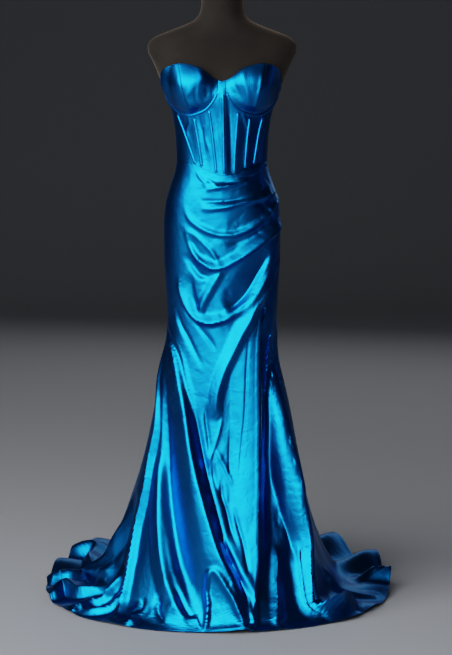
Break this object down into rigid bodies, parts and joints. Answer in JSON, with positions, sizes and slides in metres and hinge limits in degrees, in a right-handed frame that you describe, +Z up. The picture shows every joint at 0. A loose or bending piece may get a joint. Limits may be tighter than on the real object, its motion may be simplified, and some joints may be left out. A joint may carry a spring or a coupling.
{
  "type": "evening gown on a dress form",
  "caption": "Strapless satin evening gown with boned bodice, draped hip, slit and train, on a limbless dress form with a plain round stand.",
  "frame": {"origin": "on the floor at the middle of the stand's base, under its pole", "axes": "+Z up; the front of the gown faces -Y and +X is the wearer's left"},
  "size_m": [0.9318, 0.9588, 1.6],
  "materials": {
    "satin": "bright azure satin with a strong sheen",
    "satin_trim": "azure satin over boning and wires",
    "form_cover": "matt charcoal jersey",
    "stand_metal": "satin black powder coat",
    "zip": "azure coil and lacquered slider"
  },
  "bodies": {
    "gown_and_form": {"bodice_back_left": "satin", "bodice_back_right": "satin", "bodice_center_front": "satin", "bodice_side_front_left": "satin", "bodice_side_front_right": "satin", "bodice_side_left": "satin", "bodice_side_right": "satin", "bone_channel_1": "satin_trim", "bone_channel_2": "satin_trim", "bone_channel_3": "satin_trim", "bone_channel_4": "satin_trim", "bone_channel_5": "satin_trim", "bone_channel_6": "satin_trim", "bone_channel_7": "satin_trim", "bone_channel_back_left": "satin_trim", "bone_channel_back_right": "satin_trim", "cup_left_inner": "satin", "cup_left_outer": "satin", "cup_right_inner": "satin", "cup_right_outer": "satin", "dress_form": "form_cover", "skirt_back_left": "satin", "skirt_back_right": "satin", "skirt_drape": "satin", "skirt_front_left": "satin", "stand_base": "stand_metal", "stand_pole": "stand_metal", "waist_flap": "satin", "wire_casing_left": "satin_trim", "wire_casing_right": "satin_trim", "zip_coil": "zip", "zip_slider": "zip"},
    "zip_pull": {"zip_pull_tab": "zip"}
  },
  "joints": [
    {"name": "zip pull", "type": "hinge", "parent": "gown_and_form", "child": "zip_pull", "pos_m": [0, 0.11048, 1.324], "axis": [1, 0, 0], "range_deg": [0, 165]}
  ]
}
